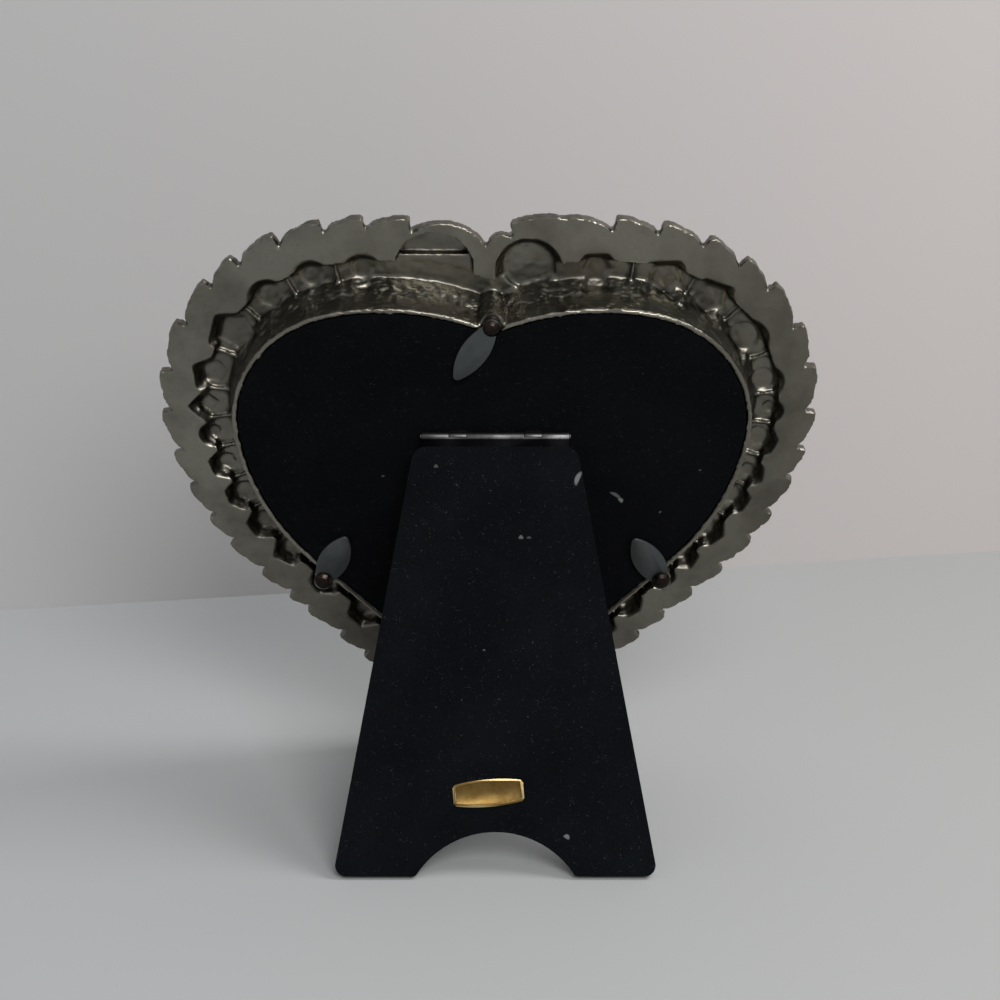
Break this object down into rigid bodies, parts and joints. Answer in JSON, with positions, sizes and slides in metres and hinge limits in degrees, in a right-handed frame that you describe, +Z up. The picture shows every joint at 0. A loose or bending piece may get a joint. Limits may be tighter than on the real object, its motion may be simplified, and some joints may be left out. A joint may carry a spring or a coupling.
{
  "type": "heart-shaped photo frame",
  "caption": "Heart-shaped cast metal photo frame with a leafy rim, a velvet-covered backing board held by turn clips, and a hinged easel leg.",
  "frame": {"origin": "middle of the small flat that the heart's tip stands on", "axes": "+Z up, the front of the frame faces -Y, +X is to the left as seen from behind; the frame leans back 15 degrees on its open easel leg"},
  "size_m": [0.1356, 0.067, 0.1284],
  "materials": {
    "casting": "dark nickel-plated casting, flat back softly polished, hollows dark",
    "glass": "clear window glass",
    "card": "blank photo card",
    "pad": "corrugated filler board",
    "lining": "black lining paper",
    "board": "grey-brown backing board",
    "velvet": "black velvet with fine lint",
    "clip_metal": "dark nickel sheet",
    "hinge_metal": "bright steel sheet",
    "label_foil": "gold foil sticker, bare"
  },
  "bodies": {
    "frame": {"cast_frame": "casting", "window_glass": "glass", "photo_insert": "card", "filler_pad": "pad", "board_lining": "lining", "backing_board": "board", "board_velvet": "velvet", "hinge_upper_leaf": "hinge_metal", "hinge_pin": "hinge_metal", "board_rivets": "hinge_metal", "clip_rivets": "clip_metal", "clip_washers": "clip_metal"},
    "leg": {"leg_board": "board", "leg_velvet": "velvet", "leg_lining": "lining", "hinge_lower_leaf": "hinge_metal", "leg_rivets": "hinge_metal", "label": "label_foil"},
    "clip_top": {"clip_top": "clip_metal"},
    "clip_left": {"clip_left": "clip_metal"},
    "clip_right": {"clip_right": "clip_metal"}
  },
  "joints": [
    {"name": "leg_hinge", "type": "hinge", "parent": "frame", "child": "leg", "pos_m": [-0.0014, 0.03317, 0.08285], "axis": [-1, 0, 0], "range_deg": [0, 33.6]},
    {"name": "clip_top_turn", "type": "hinge", "parent": "frame", "child": "clip_top", "pos_m": [-0.0007, 0.03914, 0.10702], "axis": [0, 0.9659, -0.2588], "continuous": true},
    {"name": "clip_left_turn", "type": "hinge", "parent": "frame", "child": "clip_left", "pos_m": [0.0353, 0.02346, 0.04849], "axis": [0, 0.9659, -0.2588], "continuous": true},
    {"name": "clip_right_turn", "type": "hinge", "parent": "frame", "child": "clip_right", "pos_m": [-0.0367, 0.02346, 0.04849], "axis": [0, 0.9659, -0.2588], "continuous": true}
  ]
}
